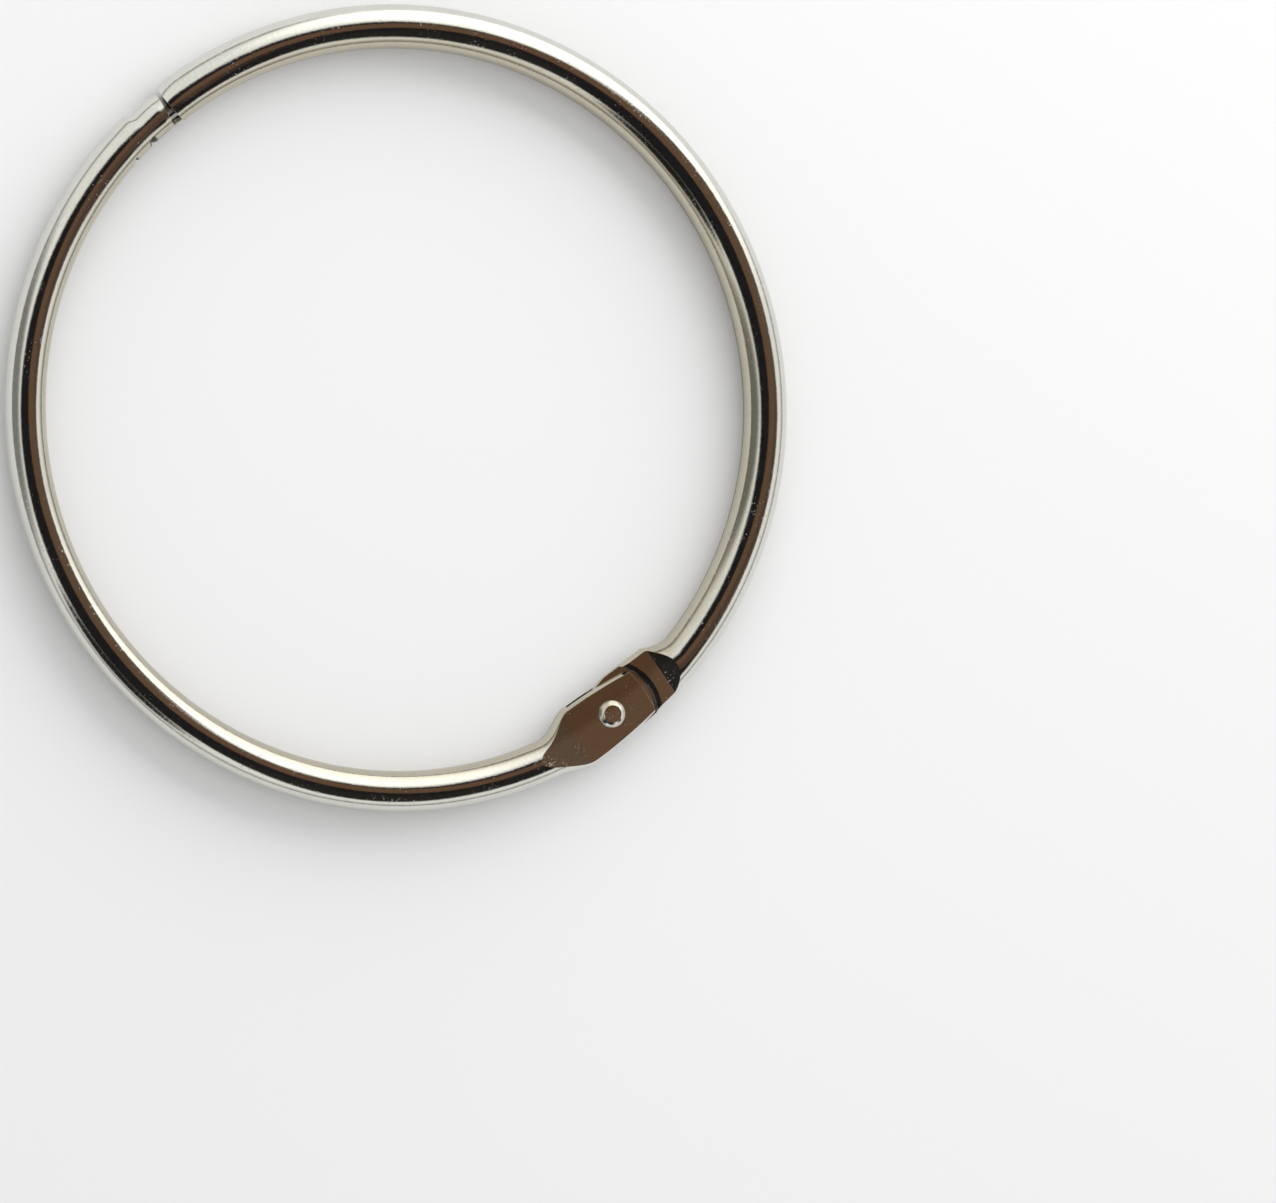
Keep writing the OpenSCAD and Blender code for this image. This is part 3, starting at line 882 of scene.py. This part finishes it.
def dent_painted_shadow(tree, place, grain):
    """Where the painted shadow in the first dent is, with a ragged edge"""
    turn = math.radians(DENT_SHADOW_AT)
    middle = (-DENT_SHADOW_R * math.sin(turn) * MM, DENT_SHADOW_R * math.cos(turn) * MM, 0.0)
    level = new_node(tree, "ShaderNodeVectorMath", _0=place, _1=(1.0, 1.0, 0.0))
    level.operation = "MULTIPLY"
    away = new_node(tree, "ShaderNodeVectorMath", _0=level.outputs[0], _1=middle)
    away.operation = "DISTANCE"
    ragged = math_node(tree, "MULTIPLY_ADD", grain, DENT_SHADOW_RAGGED * MM, away.outputs["Value"])
    return band_node(tree, ragged, DENT_SHADOW_FULL * MM, DENT_SHADOW_GONE * MM, 1.0, 0.0)


def plating(name, colour, roughness):
    """Bright nickel plate with a fine grain, small pits, faint scratches, painted shade on the inner
    side and a painted shadow in the first dent
    """
    material = bpy.data.materials.new(name)
    material.use_nodes = True
    tree = material.node_tree
    shader = tree.nodes["Principled BSDF"]
    shader.inputs["Metallic"].default_value = 1.0
    place = tree.nodes.new("ShaderNodeTexCoord").outputs["Object"]
    cloud = noise_node(tree, place, CLOUD_SCALE)
    grain = noise_node(tree, place, GRAIN_SCALE, detail=4.0)
    worn = worn_spots(tree, place)

    mottle = math_node(tree, "MULTIPLY_ADD", grain, 0.6, math_node(tree, "MULTIPLY", cloud, 0.4))
    dull = [c * 0.93 for c in colour[:3]]
    bright = [min(1.0, c * 1.03) for c in colour[:3]]
    tone = mix_node(tree, band_node(tree, mottle, 0.35, 0.65), dull, bright)
    # Painted shade: the ring's inner side is tinted darker, as if it reflected darker surroundings
    shaded = mix_node(tree, inner_painted_shade(tree, place), tone, INNER_SHADE_TINT, "MULTIPLY")
    # Painted shadow: the first dent is darkened almost to black, with a ragged edge
    dent_shadowed = mix_node(tree, dent_painted_shadow(tree, place, grain), shaded, DENT_SHADOW_COLOUR)
    tree.links.new(dent_shadowed, shader.inputs["Base Color"])

    even = band_node(tree, grain, 0.3, 0.7, roughness * 0.75, roughness * 1.35)
    rough = math_node(tree, "ADD", even, math_node(tree, "MULTIPLY", worn, WORN_ROUGHNESS))
    tree.links.new(rough, shader.inputs["Roughness"])

    height = math_node(tree, "SUBTRACT", grain, math_node(tree, "MULTIPLY", worn, WORN_DEPTH))
    bump = new_node(
        tree, "ShaderNodeBump", Height=height, Strength=BUMP_STRENGTH, Distance=BUMP_HEIGHT * MM
    )
    edge = new_node(tree, "ShaderNodeBevel", Radius=EDGE_BEVEL * MM, Normal=bump.outputs["Normal"])
    edge.samples = 4
    tree.links.new(edge.outputs["Normal"], shader.inputs["Normal"])
    return material


def dress(node, material):
    """Gives a carried-over node its finish"""
    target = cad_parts[node]
    target.data.materials.clear()
    target.data.materials.append(material)
    for face in target.data.polygons:
        face.material_index = 0


def take_place(piece, node, body):
    """Lets a finer mesh stand for a carried-over node"""
    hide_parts(node)
    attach(piece, body)


# ---------------------------------------------------------------- stage

def view_rotation(stage):
    """Turn of the camera: azimuth about the ring's axis, tilt from it, and roll about the view"""
    return (
        Matrix.Rotation(stage.view_azimuth, 4, "Z")
        @ Matrix.Rotation(stage.view_tilt, 4, "X")
        @ Matrix.Rotation(stage.view_roll, 4, "Z")
    )


def seen_direction(stage, right, up):
    """Direction from the ring that lies so many degrees right of and above the camera"""
    off_view = math.radians(math.hypot(right, up))
    round_view = math.atan2(up, right)
    across = math.sin(off_view)
    local = Vector((across * math.cos(round_view), across * math.sin(round_view), math.cos(off_view)))
    return (view_rotation(stage).to_3x3() @ local).normalized()


def ring_centre():
    low, high = cad_box
    return Vector((0, 0, (low.z + high.z) / 2))


def place_camera(stage):
    camera_data = bpy.data.cameras.new("camera")
    camera = bpy.data.objects.new("camera", camera_data)
    bpy.context.scene.collection.objects.link(camera)
    camera_data.sensor_width = 36.0
    camera_data.lens = camera_data.sensor_width * stage.view_distance / stage.view_width
    camera_data.clip_end = 10.0
    turn = view_rotation(stage)
    back = turn.to_3x3() @ Vector((stage.ring_right, stage.ring_up, -stage.view_distance))
    camera.matrix_world = Matrix.Translation(ring_centre() - back) @ turn
    bpy.context.scene.camera = camera


def lay_floor(stage):
    half = FLOOR_HALF
    mesh = bpy.data.meshes.new("floor")
    mesh.from_pydata(
        [(-half, -half, 0), (half, -half, 0), (half, half, 0), (-half, half, 0)], [], [(0, 1, 2, 3)]
    )
    floor = bpy.data.objects.new("floor", mesh)
    bpy.context.scene.collection.objects.link(floor)
    paint = bpy.data.materials.new("floor_paint")
    paint.use_nodes = True
    shader = paint.node_tree.nodes["Principled BSDF"]
    shader.inputs["Base Color"].default_value = stage.floor_colour
    shader.inputs["Roughness"].default_value = 0.9
    shader.inputs["Specular IOR Level"].default_value = 0.0
    mesh.materials.append(paint)


def hang_softbox(stage):
    """Soft lamp over the ring; gloss sees the bright window of the surroundings in its place"""
    lamp_data = bpy.data.lights.new("softbox", "AREA")
    lamp_data.shape = "RECTANGLE"
    lamp_data.size, lamp_data.size_y = SOFTBOX_SIZE
    lamp_data.energy = stage.softbox_power
    lamp = bpy.data.objects.new("softbox", lamp_data)
    bpy.context.scene.collection.objects.link(lamp)
    lamp.visible_glossy = False
    toward = seen_direction(stage, *SOFTBOX_SEEN)
    lamp.location = ring_centre() + SOFTBOX_AWAY * toward
    lamp.rotation_mode = "QUATERNION"
    lamp.rotation_quaternion = (-toward).to_track_quat("-Z", "Y")


def lay_zone(tree, look, stage, under, zone):
    """Lays a soft round zone over what gloss sees in the surroundings"""
    right, up, full, gone, colour = zone
    aim = new_node(tree, "ShaderNodeVectorMath", _0=look, _1=seen_direction(stage, right, up))
    aim.operation = "DOT_PRODUCT"
    cover = new_node(
        tree, "ShaderNodeMapRange", Value=aim.outputs["Value"],
        From_Min=math.cos(math.radians(gone)), From_Max=math.cos(math.radians(full)),
    )
    cover.interpolation_type = "SMOOTHSTEP"
    return mix_node(tree, cover.outputs["Result"], under, colour)


def light_room(stage):
    """Even white light from all round, white for the camera, and pale with zones in it for gloss"""
    world = bpy.data.worlds.new("room")
    bpy.context.scene.world = world
    world.use_nodes = True
    tree = world.node_tree
    tree.nodes.clear()
    path = tree.nodes.new("ShaderNodeLightPath").outputs
    look = tree.nodes.new("ShaderNodeTexCoord").outputs["Generated"]
    height = new_node(tree, "ShaderNodeSeparateXYZ", Vector=look).outputs["Z"]
    in_gloss = mix_node(tree, band_node(tree, height, *HORIZON), HORIZON_COLOUR, SKY_COLOUR)
    for zone in GLOSS_ZONES.values():
        in_gloss = lay_zone(tree, look, stage, in_gloss, zone)

    seen = mix_node(tree, path["Is Glossy Ray"], (1, 1, 1), in_gloss)
    seen_light = new_node(tree, "ShaderNodeBackground", Color=seen, Strength=1.0)
    room_light = new_node(tree, "ShaderNodeBackground", Color=(1, 1, 1, 1), Strength=stage.room_light)
    shown = math_node(tree, "MAXIMUM", path["Is Camera Ray"], path["Is Glossy Ray"])
    shown = math_node(tree, "MAXIMUM", shown, path["Is Transmission Ray"])
    mixed = new_node(
        tree, "ShaderNodeMixShader", _0=shown, _1=room_light.outputs[0], _2=seen_light.outputs[0]
    )
    out = tree.nodes.new("ShaderNodeOutputWorld")
    tree.links.new(mixed.outputs[0], out.inputs["Surface"])


# ---------------------------------------------------------------- operators

class RING_OT_tubes(bpy.types.Operator):
    """Builds and plates both halves of the ring"""

    bl_idname = "ring.tubes"
    bl_label = "Plate the Tubes"

    def execute(self, context):
        finish = context.scene.ring_finish
        plate = plating("tube_nickel", finish.tube_colour, finish.tube_roughness)
        # The bore's finish is painted shade, dark in the bores and dents
        bore = plating("bore_painted_shade", finish.bore_shade_colour, finish.bore_roughness)
        halves = (
            (build_fork(), "fork_half", "fork"),
            (build_tongue(), "tongue_half", "tongue"),
        )
        for piece, node, body in halves:
            finish_mesh(piece, plate, bore)
            take_place(piece, node, body)
        return {"FINISHED"}


class RING_OT_rivet(bpy.types.Operator):
    """Builds and plates the hinge's rivet"""

    bl_idname = "ring.rivet"
    bl_label = "Plate the Rivet"

    def execute(self, context):
        finish = context.scene.ring_finish
        rivet = build_rivet()
        finish_mesh(rivet, plating("rivet_nickel", finish.rivet_colour, finish.rivet_roughness))
        take_place(rivet, "hinge_rivet", "fork")
        return {"FINISHED"}


class RING_OT_plug(bpy.types.Operator):
    """Finishes the snap's plug"""

    bl_idname = "ring.plug"
    bl_label = "Finish the Plug"

    def execute(self, context):
        finish = context.scene.ring_finish
        dress("snap_plug", plating("plug_wire", finish.plug_colour, finish.plug_roughness))
        return {"FINISHED"}


class RING_OT_stage(bpy.types.Operator):
    """Sets the camera, the floor and the light"""

    bl_idname = "ring.stage"
    bl_label = "Set the Stage"

    def execute(self, context):
        stage = context.scene.ring_stage
        context.scene.view_settings.view_transform = "Standard"
        place_camera(stage)
        lay_floor(stage)
        hang_softbox(stage)
        light_room(stage)
        return {"FINISHED"}


class RING_PT_panel(bpy.types.Panel):
    """Lists the finish, the stage and the steps that build the ring"""

    bl_idname = "RING_PT_panel"
    bl_label = "Binder Ring"
    bl_space_type = "VIEW_3D"
    bl_region_type = "UI"
    bl_category = "Binder Ring"

    def draw(self, context):
        for group in (context.scene.ring_finish, context.scene.ring_stage):
            box = self.layout.box()
            for name in group.bl_rna.properties.keys():
                if name not in ("rna_type", "name"):
                    box.prop(group, name)
        for operator in OPERATORS:
            self.layout.operator(operator.bl_idname)


OPERATORS = (RING_OT_stage, RING_OT_tubes, RING_OT_rivet, RING_OT_plug)
CLASSES = (FinishSettings, StageSettings, *OPERATORS, RING_PT_panel)


def register():
    for cls in CLASSES:
        bpy.utils.register_class(cls)
    bpy.types.Scene.ring_finish = PointerProperty(type=FinishSettings)
    bpy.types.Scene.ring_stage = PointerProperty(type=StageSettings)


def unregister():
    del bpy.types.Scene.ring_finish
    del bpy.types.Scene.ring_stage
    for cls in reversed(CLASSES):
        bpy.utils.unregister_class(cls)


def main():
    register()
    bpy.ops.ring.stage()
    bpy.ops.ring.tubes()
    bpy.ops.ring.rivet()
    bpy.ops.ring.plug()


if __name__ == "__main__":
    main()
